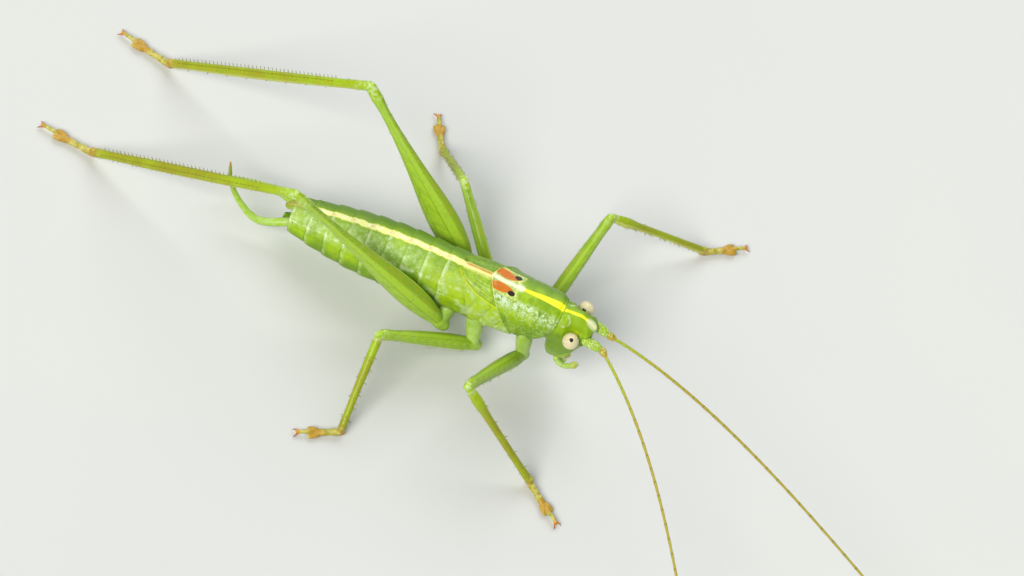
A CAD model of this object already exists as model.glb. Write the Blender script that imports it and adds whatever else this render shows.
"""Southern oak bush-cricket: the dressed model, made round its solid frame.

Shapes are worked out in millimetres. Points on the body are (f, s, u): f runs forward along the
body's axis, s to the animal's left and u out of its back, from the point on the axis below the
rear edge of the pronotum, the shield behind the head.
"""

import math

import bmesh
import bpy
import numpy as np
from mathutils import Matrix, Vector


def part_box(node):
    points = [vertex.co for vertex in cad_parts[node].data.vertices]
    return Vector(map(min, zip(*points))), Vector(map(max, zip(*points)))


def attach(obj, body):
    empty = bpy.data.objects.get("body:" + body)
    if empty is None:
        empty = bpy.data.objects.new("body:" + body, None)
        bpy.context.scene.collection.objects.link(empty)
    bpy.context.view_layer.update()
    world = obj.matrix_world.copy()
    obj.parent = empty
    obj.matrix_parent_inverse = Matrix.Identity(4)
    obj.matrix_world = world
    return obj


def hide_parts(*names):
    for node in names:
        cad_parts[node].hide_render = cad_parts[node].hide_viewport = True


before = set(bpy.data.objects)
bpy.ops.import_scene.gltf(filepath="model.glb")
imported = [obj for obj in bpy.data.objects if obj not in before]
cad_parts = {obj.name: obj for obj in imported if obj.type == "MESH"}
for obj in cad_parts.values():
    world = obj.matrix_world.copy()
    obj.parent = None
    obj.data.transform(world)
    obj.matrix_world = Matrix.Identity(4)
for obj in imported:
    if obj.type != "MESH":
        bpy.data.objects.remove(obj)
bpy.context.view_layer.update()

bl_info = {
    "name": "Oak bush-cricket",
    "version": (1, 0, 0),
    "blender": (4, 5, 0),
    "location": "3D Viewport > Sidebar > Cricket",
    "description": "Skin, shield, wing flaps, eyes, feelers and legs of a small green bush-cricket",
    "category": "Object",
}

MM = 0.001
SIDES = {"left": 1, "right": -1}
UPRIGHT = np.array((0.0, 0.0, 1.0))

# ---- The body's own frame -------------------------------------------------------------------
PITCH = math.radians(11.0)
EYE = np.array((3.72, 0.80, 0.27))      # centre of the left eye
AXES = np.array((                       # the directions of f, s and u in the world
    (0.0, -math.cos(PITCH), math.sin(PITCH)),
    (1.0, 0.0, 0.0),
    (0.0, math.sin(PITCH), math.cos(PITCH)),
))


def body_zero():
    """The body's zero point in the world, in millimetres, from the middle of the two eyes."""
    corners = [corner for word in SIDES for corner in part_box(f"eye_{word}")]
    return np.mean(np.array(corners), axis=0) / MM - (EYE * (1, 0, 1)) @ AXES


ZERO = body_zero()


def to_world(points):
    """Body points in world millimetres."""
    return ZERO + np.asarray(points, dtype=float) @ AXES


def mirrored(point, side):
    """A left-side body point, on the other side where side is -1."""
    return np.array(point) * (1, side, 1)


# ---- Trunk, shield and head -----------------------------------------------------------------
TRUNK = (                       # f, half width, height above the axis, depth below it
    (0.0, 1.05, 1.28, 1.32), (-1.0, 1.10, 1.32, 1.36), (-2.4, 1.15, 1.40, 1.36), (-3.8, 1.18, 1.42, 1.36),
    (-5.2, 1.14, 1.30, 1.30), (-6.6, 0.98, 1.10, 1.08), (-7.7, 0.78, 0.84, 0.80), (-8.4, 0.60, 0.60, 0.58),
)
TRUNK_REAR = -8.22              # f of the trunk's last ring
SQUARENESS = 2.3                # how square rounds are, where 2 is a circle
BACK_SQUARENESS = 2.15          # the same along the trunk's back
RING_FRONT = -1.0               # first border between two rings of the abdomen
RING_LENGTH = 0.8
THORAX_REAR = -1.8              # f from which the trunk is no longer slanted
CORE = (                        # trunk inside the shield: f, size of its upper half and of its lower half
    (0.0, 0.985, 0.985), (0.15, 0.91, 0.81), (1.5, 0.86, 0.684), (2.3, 0.74, 0.528), (2.8, 0.56, 0.336),
    (3.3, 0.46, 0.216),
)
STERNUM = (                     # underside of the chest: f, share of its full size
    (0.7, 0.5), (1.2, 0.92), (1.5, 1.0), (2.3, 1.0), (2.6, 0.86), (2.85, 0.66), (3.1, 0.5),
)
STERNUM_HALF_WIDTH = 0.56
STERNUM_UPPER = (-0.35, 0.75)   # height of the middle and half height of its upper half
STERNUM_LOWER = (-0.42, 0.72)
NECK = (                        # f, height of the neck's middle, half width, half depth
    (2.0, 0.15, 0.62, 0.72), (2.6, 0.05, 0.56, 0.68), (3.1, 0.0, 0.52, 0.64), (3.5, 0.0, 0.50, 0.60),
)
OCCIPUT = (                     # back of the head: f, half width, top
    (2.55, 0.72, 0.88), (2.9, 0.79, 0.96), (3.14, 0.82, 1.00), (3.4, 0.74, 0.97),
)
PLATE = (                       # plate under the tail: f, half width, upper edge, lower edge
    (-7.1, 0.74, -0.28, -0.84), (-7.8, 0.66, -0.28, -0.74), (-8.3, 0.46, -0.27, -0.50),
    (-8.60, 0.24, -0.22, -0.40),
)
TAIL_LOBE = ((-7.30, 0.26, 0.72), (-7.9, 0.16, 0.74), (-8.42, -0.02, 0.50))
CHEST_SEAMS = (                 # how much a seam slants, its f on the axis, its width and its depth
    (0.42, 0.22, 0.045, 0.055), (0.46, 0.93, 0.04, 0.044), (0.40, -0.42, 0.045, 0.044),
)
SHIELD = (                      # f, half width, height of the back, height of the lobes' lower edge
    (3.10, 0.86, 1.02, 0.10), (2.75, 0.95, 1.10, -0.22), (2.10, 1.00, 1.16, -0.46),
    (1.30, 1.04, 1.18, -0.52), (0.50, 1.08, 1.24, -0.48), (0.0, 1.08, 1.28, -0.30),
)
SHIELD_LENGTH = 3.10
SHOULDER = 0.30                 # height at which the shield's back passes into its lobes
SADDLE_SQUARENESS = (2.5, 2.1)  # of the shield's back, across and upwards
REAR_SLANT = 1.36               # how far ahead the shield's rear margin has run at the foot of its lobes
REAR_CURVE = 0.55
FRONT_SLANT = 0.60              # how far back its front margin has run there
SLANT_TOP = 1.28
SLANT_FOOT = -0.50
WING = (                        # f, and the degrees round the trunk's side that the flap spans
    (0.35, 23.0, 84.0), (-0.06, 27.0, 84.0), (-0.35, 33.0, 84.0), (-0.70, 43.0, 84.0), (-0.98, 57.0, 83.0),
    (-1.14, 70.0, 81.0), (-1.20, 75.0, 77.5),
)
WING_VEINS = (0.19, 0.44, 0.69)
HEAD = (                        # u, front f, rear f, half width
    (-1.75, 3.50, 2.66, 0.46), (-1.35, 3.76, 2.60, 0.58), (-0.85, 4.00, 2.66, 0.68),
    (-0.35, 4.22, 2.78, 0.75), (0.10, 4.36, 2.91, 0.80), (0.50, 4.37, 3.05, 0.80),
    (0.78, 4.20, 3.12, 0.71), (0.98, 3.92, 3.16, 0.48),
)
MOUTH = ((-1.60, 3.47, 2.84, 0.34), (-1.95, 3.42, 2.90, 0.29), (-2.19, 3.28, 3.02, 0.18))
FACE_SQUARENESS = 2.2
NAPE_SQUARENESS = 3.2
BROW = (0.55, 0.14, 0.20)       # the brow's tip: its u, its forward reach and its half width
PINCH = 0.44                    # share by which the crown narrows between the eyes
EYE_HALVES = (0.325, 0.325, 0.330)
EYE_DOT = {"left": (-0.06, -0.68, 0.735), "right": (0.15, 0.42, 0.89)}      # way to an eye's dark dot
SCAPE_ROOT = (4.20, 0.43, 0.14)
SCAPE_TIP = (4.90, 0.37, -0.14)
SCAPE_SHAPE = ((0.0, 0.19), (0.3, 0.205), (0.7, 0.20), (0.92, 0.16), (1.0, 0.12))           # share, radius
PEDICEL_SHAPE = ((0.0, 0.10), (0.25, 0.145), (0.6, 0.15), (0.85, 0.125), (1.0, 0.09))
PALP = {
    "left": ((3.18, 0.26, -1.78), (3.26, 0.42, -1.92), (3.38, 0.42, -2.08), (3.48, 0.28, -2.16),
             (3.52, 0.10, -2.16)),
    "right": ((3.18, 0.26, -1.78), (3.28, 0.44, -1.90), (3.54, 0.50, -1.98), (3.80, 0.42, -1.98),
              (4.02, 0.32, -1.88)),
}
SHORT_PALP = ((3.26, 0.10, -2.02), (3.34, 0.18, -2.14), (3.44, 0.18, -2.18), (3.52, 0.12, -2.14))
PALP_DEEP = np.array((0.0, 0.3, 1.0))

# ---- Feelers and tail feelers ---------------------------------------------------------------
ANTENNA_LENGTH = 40.0
ANTENNA_FAR_HEIGHT = 1.8
ANTENNA_SINK = 14.0             # way along which a feeler sinks to its far height
ANTENNA_STEP = 1.0
ANTENNA_COURSE = {              # heading, how far it turns, and the way along which it turns
    "left": (-2.0, -26.0, 8.0),
    "right": (-36.0, -28.0, 8.0),
}
LASH_RINGS = 60
CERCUS = {
    "left": ((-8.10, 0.40, 0.06), (-9.20, 0.78, -0.05), (-10.10, 0.62, 0.10), (-10.90, 0.20, 0.45),
             (-11.45, -0.35, 0.95)),
    "right": ((-8.10, -0.40, 0.06), (-9.30, -0.84, 0.00), (-10.15, -0.78, 0.60), (-10.65, -0.64, 1.50),
              (-10.80, -0.50, 2.50)),
}
CERCUS_DEEP = np.array((0.0, 0.2, 1.0))

# ---- Legs -----------------------------------------------------------------------------------
ANKLE_HEIGHT = 0.30
FRONT_ROOT_SHIFT = 0.12         # how far a front leg's root moves in, under the shield's lobe
LEGS = {                        # top of the coxa, hip, lengths of femur, tibia and tarsus
    "front": ((1.88, 0.84, -0.30), (2.00, 0.95, -1.70), 5.0, 5.5, 1.9),
    "middle": ((-0.15, 0.70, -0.90), (0.05, 1.22, -1.90), 4.7, 4.0, 1.7),
    "hind": ((-1.30, 0.75, -0.70), (-1.35, 1.42, -0.95), 8.4, 9.7, 2.2),
}
FEET = {                        # ahead of and left of the zero point, the leg's lean, the tarsus's heading
    "left_front": (7.05, 8.20, -45.0, 39.0),
    "right_front": (4.80, -5.10, 46.0, -32.0),
    "left_middle": (-4.05, 6.55, -17.0, 119.0),
    "right_middle": (-2.55, -7.05, 39.0, -150.0),
    "left_hind": (-15.20, 4.10, 8.0, 171.0),
    "right_hind": (-16.05, -1.20, -10.0, 177.0),
}
COXA_SHAPE = {                  # share of the length, half width and half depth, as in the next two
    "front": ((0.0, 0.20, 0.24), (0.15, 0.27, 0.31), (0.4, 0.31, 0.34), (0.8, 0.26, 0.28),
              (1.0, 0.24, 0.25)),
    "middle": ((0.0, 0.36, 0.38), (0.5, 0.31, 0.33), (0.85, 0.25, 0.26), (1.0, 0.23, 0.24)),
    "hind": ((0.0, 0.40, 0.42), (0.5, 0.34, 0.36), (1.0, 0.30, 0.32)),
}
FEMUR_SHAPE = {
    "front": ((0.0, 0.20, 0.24), (0.12, 0.26, 0.31), (0.30, 0.27, 0.31), (0.60, 0.24, 0.27),
              (0.86, 0.20, 0.22), (0.95, 0.20, 0.24), (1.0, 0.16, 0.19)),
    "middle": ((0.0, 0.20, 0.23), (0.12, 0.25, 0.30), (0.35, 0.25, 0.30), (0.65, 0.23, 0.26),
               (0.86, 0.19, 0.21), (0.95, 0.19, 0.23), (1.0, 0.16, 0.18)),
    "hind": ((0.0, 0.24, 0.30), (0.07, 0.33, 0.56), (0.15, 0.40, 0.69), (0.25, 0.42, 0.73),
             (0.36, 0.37, 0.65), (0.52, 0.27, 0.45), (0.70, 0.19, 0.28), (0.86, 0.16, 0.21),
             (0.94, 0.19, 0.28), (1.0, 0.17, 0.24)),
}
TIBIA_SHAPE = {
    "front": ((0.0, 0.15, 0.17), (0.06, 0.17, 0.18), (0.13, 0.21, 0.21), (0.20, 0.20, 0.20),
              (0.30, 0.16, 0.16), (0.80, 0.145, 0.145), (0.96, 0.16, 0.16), (1.0, 0.13, 0.13)),
    "middle": ((0.0, 0.15, 0.17), (0.08, 0.17, 0.18), (0.30, 0.175, 0.175), (0.80, 0.145, 0.145),
               (0.96, 0.155, 0.155), (1.0, 0.13, 0.13)),
    "hind": ((0.0, 0.17, 0.19), (0.05, 0.18, 0.20), (0.12, 0.18, 0.18), (0.45, 0.205, 0.205),
             (0.70, 0.20, 0.20), (0.90, 0.165, 0.165), (0.97, 0.185, 0.185), (1.0, 0.15, 0.15)),
}
TIBIA_BOW = {"front": 0.03, "middle": 0.03, "hind": -0.05}
TARSUS = (                      # start, end, half width, half height, height above the floor
    (-0.06, 0.31, 0.145, 0.14, 0.19), (0.27, 0.52, 0.145, 0.12, 0.15), (0.47, 0.71, 0.27, 0.10, 0.12),
    (0.60, 1.00, 0.085, 0.08, 0.17),
)
PAD_FROM = 0.2                  # a tarsus piece with more half width than this has two pads
SPINE_ROWS = {                  # side of the shin, 1 above and -1 below, and spines in each of its two rows
    "front": ((-1, 5),), "middle": ((-1, 6), (1, 4)), "hind": ((1, 40), (-1, 8)),
}
SPINE_DEEP = np.array((0.13, 0.31, 0.94))
CLAW_RADIUS = 0.04
SPINE_RADIUS = 0.020
HAIR_RADIUS = 0.007
FEMUR_HAIRS = 90
TIBIA_HAIRS = 150
FIRST_SEED = 40                 # of the first leg's hairs, with one more for each leg after it

# ---- Finishes and stage ---------------------------------------------------------------------
FINISH = {                      # relief, share and depth of the light let in, coat and its roughness
    "skin_green": (0.010, 0.15, 0.35, 0.10, 0.25),
    "shield_green": (0.012, 0.08, 0.30, 0.06, 0.15),
    "wing_flap": (0.012, 0.12, 0.30, 0.20, 0.15),
    "eye_cream": (0.006, 0.10, 0.15, 0.50, 0.06),
    "feeler_olive": (0.006, 0.08, 0.15, 0.15, 0.25),
    "palp_pale": (0.008, 0.20, 0.25, 0.20, 0.20),
    "cercus_olive": (0.008, 0.30, 0.30, 0.30, 0.20),
    "leg_green": (0.008, 0.16, 0.30, 0.15, 0.15),
    "spine_amber": (0.004, 0.10, 0.10, 0.40, 0.15),
}
LIGHT_IN = (0.55, 1.0, 0.25)    # how far red, green and blue light goes in, as shares of that depth
WAX_INDEX = 1.36
VIEW_FROM = (0.1243, -0.5452, 0.8290)       # way to the camera, along the body's f, s and u
VIEW_RIGHT = (0.9201, 0.3762, 0.1094)
VIEW_UP = (-0.3715, 0.7492, 0.5484)
AIM = (0.7682, 0.4964, 0.2112)              # body point in the middle of the view
VIEW_DISTANCE = 180.0
LENS = 164.53
SENSOR = 36.0
KEY_FROM = (-0.15, -0.66, 0.74)             # way to the large light, along the body's f, s and u
FILL_FROM = (0.75, 0.15, 0.7)               # way to the second light, in the world
KEY_SPREAD = 32.0
FILL_SPREAD = 50.0
KEY_HUE = (1.0, 0.98, 0.94)
FILL_HUE = (0.95, 0.98, 1.0)
ROOM_HUE = (0.92, 0.95, 1.0)
FLOOR_HALF = 1.0                # metres


# ---- Curves and shells ----------------------------------------------------------------------

def read(stations, x):
    """Read a smooth curve through stations, whose first value is the place along it."""
    rows = np.array(sorted(stations), dtype=float)
    x = min(max(x, rows[0, 0]), rows[-1, 0])
    number = int(np.clip(np.searchsorted(rows[:, 0], x, side="right") - 1, 0, len(rows) - 2))
    before, here = rows[max(number - 1, 0)], rows[number]
    after, beyond = rows[number + 1], rows[min(number + 2, len(rows) - 1)]
    span = after[0] - here[0]
    t = (x - here[0]) / span
    slope_here = (after - before) / (after[0] - before[0]) * span
    slope_after = (beyond - here) / (beyond[0] - here[0]) * span
    value = ((2 * t**3 - 3 * t**2 + 1) * here + (t**3 - 2 * t**2 + t) * slope_here
             + (3 * t**2 - 2 * t**3) * after + (t**3 - t**2) * slope_after)
    return value[1:]


def circle(count):
    """Evenly spaced angles round a ring."""
    return np.linspace(0, 2 * math.pi, count, endpoint=False)


def bulge(cosine, power=SQUARENESS):
    """Turn a circle's coordinate into that of a slightly squarer round."""
    return np.sign(cosine) * np.abs(cosine) ** (2.0 / power)


def bell(x, middle, width):
    """A smooth bump, one at its middle."""
    return np.exp(-((x - middle) / width) ** 2)


def rise(x, start, end):
    """Zero before start, one after end, smooth between. Start may be after end."""
    t = np.clip((x - start) / (end - start), 0.0, 1.0)
    return t * t * (3 - 2 * t)


def unit(vector):
    return vector / np.linalg.norm(vector)


def drop_at(u):
    """How far down the shield's slanted ends a height is, one being the foot of the lobes."""
    return np.clip((SLANT_TOP - u) / (SLANT_TOP - SLANT_FOOT), 0.0, 1.0)


def slanted(f, u):
    """Shift a place along the trunk so that the shield's ends, and what meets them, slant."""
    drop = drop_at(u)
    rear_shift = REAR_SLANT * drop**REAR_CURVE
    if f >= 0:
        return f + rear_shift * (1 - f / SHIELD_LENGTH) - FRONT_SLANT * drop**2 * (f / SHIELD_LENGTH)
    return f + rear_shift * max(1 - f / THORAX_REAR, 0.0)


def curve(knots, per_span):
    """Points along a smooth curve through the knots."""
    knots = np.asarray(knots, dtype=float)
    padded = np.vstack((2 * knots[0] - knots[1], knots, 2 * knots[-1] - knots[-2]))
    t = (np.arange(per_span) / per_span)[:, None]
    spans = [b + ((c - a) * t + (2 * a - 5 * b + 4 * c - d) * t**2 + (3 * b - a - 3 * c + d) * t**3) / 2
             for a, b, c, d in zip(padded, padded[1:], padded[2:], padded[3:])]
    return np.vstack(spans + [knots[-1:]])


def skin_over(rings):
    """Vertices and faces of a closed shell over a stack of equal rings."""
    rings = np.asarray(rings)
    index = np.arange(rings.shape[0] * rings.shape[1]).reshape(rings.shape[:2])
    beside = np.roll(index, -1, axis=1)
    quads = np.stack((index[:-1], beside[:-1], beside[1:], index[1:]), axis=-1)
    faces = quads.reshape(-1, 4).tolist() + [index[0, ::-1].tolist(), index[-1].tolist()]
    return rings.reshape(-1, 3), faces


def tube(points, widths, depths=None, deep=UPRIGHT, sides=20, dome=3):
    """A closed tube through the points, with half widths and half depths. Its ends are domes."""
    points = np.asarray(points, dtype=float)
    depths = widths if depths is None else depths
    tangents = np.gradient(points, axis=0)
    tangents /= np.linalg.norm(tangents, axis=1)[:, None]
    turns = circle(sides)
    rings = []
    for point, tangent, half_width, half_depth in zip(points, tangents, widths, depths):
        deep = unit(deep - tangent * (deep @ tangent))
        across = np.cross(tangent, deep)
        rings.append(point + np.outer(np.cos(turns) * half_width, across)
                     + np.outer(np.sin(turns) * half_depth, deep))

    def domed(end, onward):
        reach = min(widths[end], depths[end])
        angles = [math.radians(84.0) * step / dome for step in range(1, dome + 1)]
        spokes = rings[end] - points[end]
        return [points[end] + spokes * math.cos(angle) + onward * (reach * math.sin(angle))
                for angle in angles]

    return skin_over(domed(0, -tangents[0])[::-1] + rings + domed(-1, tangents[-1]))


def joined(shells):
    """Several shells as one list of vertices and one of faces."""
    vertices, faces, count = [], [], 0
    for points, cells in shells:
        vertices.append(points)
        faces += [[corner + count for corner in cell] for cell in cells]
        count += len(points)
    return np.vstack(vertices), faces


def new_mesh(name, vertices, faces):
    """A mesh with its faces turned outward."""
    mesh = bpy.data.meshes.new(name)
    mesh.from_pydata(np.asarray(vertices).tolist(), [], faces)
    work = bmesh.new()
    work.from_mesh(mesh)
    bmesh.ops.recalc_face_normals(work, faces=work.faces)
    work.to_mesh(mesh)
    work.free()
    return mesh


def fused(shells, voxel, passes):
    """Closed shells made into one even skin: its vertices, their normals and its faces."""
    source = new_mesh("fusing", *joined(shells))
    thing = bpy.data.objects.new("fusing", source)
    bpy.context.scene.collection.objects.link(thing)
    remesh = thing.modifiers.new("Fuse", "REMESH")
    remesh.mode = "VOXEL"
    remesh.voxel_size = voxel
    ease = thing.modifiers.new("Ease", "SMOOTH")
    ease.factor = 0.5
    ease.iterations = passes
    made = bpy.data.meshes.new_from_object(thing.evaluated_get(bpy.context.evaluated_depsgraph_get()))
    vectors = []
    for kind in ("co", "normal"):
        values = np.empty(len(made.vertices) * 3, dtype=np.float32)
        made.vertices.foreach_get(kind, values)
        vectors.append(values.reshape(-1, 3).astype(float))
    faces = [list(polygon.vertices) for polygon in made.polygons]
    bpy.data.objects.remove(thing)
    bpy.data.meshes.remove(source)
    bpy.data.meshes.remove(made)
    return (*vectors, faces)


def add_piece(name, shell, place, material, nodes=(), margin=None):
    """Make a piece from world millimetres, with what its material reads, and fit it to the frame."""
    vertices, faces = shell
    mesh = new_mesh(name, np.asarray(vertices) * MM, faces)
    layer = mesh.attributes.new("place", "FLOAT_VECTOR", "POINT")
    layer.data.foreach_set("vector", np.asarray(place, dtype=np.float32).ravel())
    if margin is not None:
        layer = mesh.attributes.new("margin", "FLOAT", "POINT")
        layer.data.foreach_set("value", np.asarray(margin, dtype=np.float32).ravel())
    mesh.shade_smooth()
    mesh.materials.append(material)
    thing = bpy.data.objects.new(name, mesh)
    bpy.context.scene.collection.objects.link(thing)
    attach(thing, "root")
    if nodes:
        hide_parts(*nodes)


def add_plate(name, outer, place, margin, thickness, material, slot, node):
    """Make a thin plate with rounded margins from its outer face."""
    rows, columns = outer.shape[:2]
    normals = np.cross(np.gradient(outer, axis=0), np.gradient(outer, axis=1))
    normals /= np.linalg.norm(normals, axis=2)[:, :, None]
    if np.mean(normals[:, columns // 2, 2]) < 0:
        normals = -normals
    inner = outer - normals * thickness
    row, column = (np.minimum(np.arange(count), np.arange(count)[::-1]) for count in (rows, columns))
    nearest = np.minimum(row[:, None], column[None, :])
    thin = normals * (thickness * 0.25 * np.exp(-nearest / 1.2))[:, :, None]
    vertices = np.concatenate(((outer - thin).reshape(-1, 3), (inner + thin).reshape(-1, 3)))
    count = rows * columns
    index = np.arange(count).reshape(rows, columns)
    quads = np.stack((index[:-1, :-1], index[1:, :-1], index[1:, 1:], index[:-1, 1:]), axis=-1)
    quads = quads.reshape(-1, 4)
    rim = np.concatenate((index[0, :-1], index[:-1, -1], index[-1, :0:-1], index[:0:-1, 0]))
    following = np.roll(rim, -1)
    edge = np.stack((rim, following, following + count, rim + count), axis=1)
    faces = quads.tolist() + (quads[:, ::-1] + count).tolist() + edge.tolist()
    places, margins = np.tile(place.reshape(-1, 3), (2, 1)), np.tile(margin.ravel(), 2)
    add_piece(name, (to_world(vertices), faces), places, material, (node,), margins)


def places_along(shells, marks):
    """For the points of each shell, the way from its start to its end, zero, and the shell's mark."""
    return np.concatenate([
        np.column_stack((np.linspace(0, 1, len(points)), np.zeros(len(points)), np.full(len(points), mark)))
        for (points, _), mark in zip(shells, marks)])


# ---- Shader maths ---------------------------------------------------------------------------

class Value:
    """A number in a material. Arithmetic on it adds Math nodes."""

    def __init__(self, shade, socket):
        self.shade = shade
        self.socket = socket

    def maths(self, operation, *values):
        node = self.shade.node("ShaderNodeMath", {"operation": operation}, dict(enumerate(values)))
        return Value(self.shade, node.outputs[0])

    def __add__(self, other):
        return self.maths("ADD", self, other)

    def __sub__(self, other):
        return self.maths("SUBTRACT", self, other)

    def __rsub__(self, other):
        return self.maths("SUBTRACT", other, self)

    def __mul__(self, other):
        return self.maths("MULTIPLY", self, other)

    def __truediv__(self, other):
        return self.maths("DIVIDE", self, other)

    def __pow__(self, other):
        return self.maths("POWER", self, other)

    def __abs__(self):
        return self.maths("ABSOLUTE", self)

    __radd__ = __add__
    __rmul__ = __mul__

    def fraction(self):
        return self.maths("FRACT", self)

    def sine(self):
        return self.maths("SINE", self)

    def larger(self, other):
        return self.maths("MAXIMUM", self, other)

    def rise(self, start, end):
        """Zero before start, one after end, smooth between. Start may be after end."""
        node = self.shade.node("ShaderNodeMapRange", {"interpolation_type": "SMOOTHSTEP"}, {
            "Value": self, "From Min": min(start, end), "From Max": max(start, end),
            "To Min": float(start > end), "To Max": float(start < end)})
        return Value(self.shade, node.outputs[0])

    def band(self, middle, width):
        """One at the middle, falling smoothly to zero at a width from it."""
        return abs(self - middle).rise(width, 0.0)


class Shade:
    """The nodes of one material. Colours in it are sockets, or names or mixtures from the panel."""

    def __init__(self, name):
        self.material = bpy.data.materials.new(name)
        self.material.use_nodes = True
        self.tree = self.material.node_tree
        self.tree.nodes.clear()
        metres = self.node("ShaderNodeTexCoord").outputs["Object"]
        self.where = self.node("ShaderNodeVectorMath", {"operation": "SCALE"},
                               {0: metres, "Scale": 1 / MM}).outputs[0]

    def node(self, kind, settings=None, sockets=None):
        """Add a node: its settings first, then the values or links of its sockets."""
        node = self.tree.nodes.new(kind)
        for key, value in (settings or {}).items():
            setattr(node, key, value)
        for key, value in (sockets or {}).items():
            value = colour(value) if isinstance(value, str) else getattr(value, "socket", value)
            if isinstance(value, bpy.types.NodeSocket):
                self.tree.links.new(value, node.inputs[key])
            elif isinstance(value, tuple) and len(value) < len(node.inputs[key].default_value):
                node.inputs[key].default_value = (*value, 1.0)
            else:
                node.inputs[key].default_value = value
        return node

    def stored(self, name, output):
        """What is kept under a name on each point of the piece."""
        return self.node("ShaderNodeAttribute", {"attribute_name": name}).outputs[output]

    def place(self):
        """The three numbers kept on the piece as its places."""
        parts = self.node("ShaderNodeSeparateXYZ", None, {0: self.stored("place", "Vector")})
        return [Value(self, part) for part in parts.outputs]

    def margin(self):
        return Value(self, self.stored("margin", "Fac"))

    def noise(self, scale, detail=2.0, roughness=0.5):
        """Soft random values from zero to one."""
        node = self.node("ShaderNodeTexNoise", None,
                         {"Vector": self.where, "Scale": scale, "Detail": detail, "Roughness": roughness})
        return Value(self, node.outputs[0])

    def cells(self, scale, feature="DISTANCE_TO_EDGE"):
        """Distance from the edges, or the middles, of irregular cells."""
        node = self.node("ShaderNodeTexVoronoi", {"feature": feature},
                         {"Vector": self.where, "Scale": scale})
        return Value(self, node.outputs["Distance"])

    def distance(self, vector, point):
        """How far a vector is from a fixed point."""
        node = self.node("ShaderNodeVectorMath", {"operation": "DISTANCE"}, {0: vector, 1: point})
        return Value(self, node.outputs["Value"])

    def blend(self, under, *layers):
        """A colour with others laid over it in turn, each given as its mask and its colour."""
        for mask, over in layers:
            mix = self.node("ShaderNodeMix", {"data_type": "RGBA"}, {0: mask, 6: under, 7: over})
            under = mix.outputs[2]
        return under

    def waxy(self, finish, base, roughness, height):
        """Close the material: a translucent, waxy skin with its relief."""
        relief, weight, depth, coat, coat_roughness = FINISH[finish]
        bump = self.node("ShaderNodeBump", None,
                         {"Height": height, "Strength": 1.0, "Distance": relief * MM})
        shader = self.node("ShaderNodeBsdfPrincipled", {"subsurface_method": "RANDOM_WALK"}, {
            "Base Color": base, "Roughness": roughness, "Normal": bump.outputs[0], "IOR": WAX_INDEX,
            "Subsurface Weight": weight, "Subsurface Radius": LIGHT_IN, "Subsurface Scale": depth * MM,
            "Coat Weight": coat, "Coat Roughness": coat_roughness})
        self.node("ShaderNodeOutputMaterial", None, {0: shader.outputs[0]})
        return self.material


# ---- What a user can change -----------------------------------------------------------------

def length_property(name, description, millimetres):
    return bpy.props.FloatProperty(name=name, description=description, default=millimetres * MM, min=0.0,
                                   precision=6, subtype="DISTANCE", unit="LENGTH")


def colour_property(name, description, *default):
    return bpy.props.FloatVectorProperty(name=name, description=description, default=default, size=3,
                                         min=0.0, max=1.0, subtype="COLOR")


def light_property(name, description, strength):
    return bpy.props.FloatProperty(name=name, description=description, default=strength, min=0.0)


class CricketSizes(bpy.types.PropertyGroup):
    skin_grain: length_property("Skin grain", "Spacing of the points on the skin of the body", 0.04)
    leg_grain: length_property("Leg grain", "Spacing of the points on the skin of the legs", 0.03)
    shield_thickness: length_property("Shield thickness", "Thickness of the shield's plate", 0.06)
    flap_thickness: length_property("Wing flap thickness", "Thickness of a wing flap", 0.05)
    feeler_root: length_property("Feeler root", "Radius of a feeler where its lash begins", 0.062)
    feeler_tip: length_property("Feeler tip", "Radius of a feeler at its tip", 0.03)
    spine_length: length_property("Spine length", "Length of the spines on the shins", 0.13)
    hair_length: length_property("Hair length", "Length of the hairs on thighs and shins", 0.13)
    claw_length: length_property("Claw length", "Length of a claw", 0.26)


class CricketColours(bpy.types.PropertyGroup):
    green: colour_property("Green", "Ground colour of body and thighs", 0.200, 0.360, 0.002)
    deep_green: colour_property("Deep green", "Shaded green of flanks and seams", 0.075, 0.190, 0.001)
    lime: colour_property("Lime", "Bright green of the flanks", 0.350, 0.550, 0.004)
    mint: colour_property("Mint", "Whitish green of the upper flanks", 0.420, 0.600, 0.170)
    frost: colour_property("Frost", "Bluish white flecks on the shield's shoulder", 0.620, 0.760, 0.540)
    chalk: colour_property("Chalk", "Whitish lines and flecks", 0.880, 0.920, 0.660)
    yellow: colour_property("Yellow", "Stripe down head and shield", 0.950, 0.900, 0.006)
    pale_yellow: colour_property("Pale yellow", "Stripe down the abdomen", 0.950, 0.920, 0.300)
    amber: colour_property("Amber", "Marks on the shield, feet and joints", 0.620, 0.165, 0.0)
    rust: colour_property("Rust", "Shade in the marks, and tips of the tail feelers", 0.480, 0.090, 0.008)
    dark: colour_property("Dark", "Specks, spine tips and the two dots on the shield", 0.012, 0.008, 0.003)
    olive: colour_property("Olive", "Shins and the lashes of the feelers", 0.300, 0.300, 0.010)
    cream: colour_property("Cream", "Eyes", 0.920, 0.810, 0.470)
    floor: colour_property("Floor", "Floor of the stage", 0.640, 0.650, 0.630)


class CricketLights(bpy.types.PropertyGroup):
    key: light_property("Key light", "Strength of the large light on the right side", 2.9)
    fill: light_property("Fill light", "Strength of the soft light on the left side", 1.7)
    sky: light_property("Room light", "Strength of the pale room all round", 0.27)


def size(key):
    """A size from the panel, in millimetres."""
    return getattr(bpy.context.scene.cricket_sizes, key) / MM


def colour(key):
    return tuple(getattr(bpy.context.scene.cricket_colours, key))


def tint(under, over, share):
    """One colour of the panel with a share of another in it."""
    return tuple((1 - share) * low + share * high for low, high in zip(colour(under), colour(over)))


# ---- Skin of head and trunk -----------------------------------------------------------------

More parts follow.
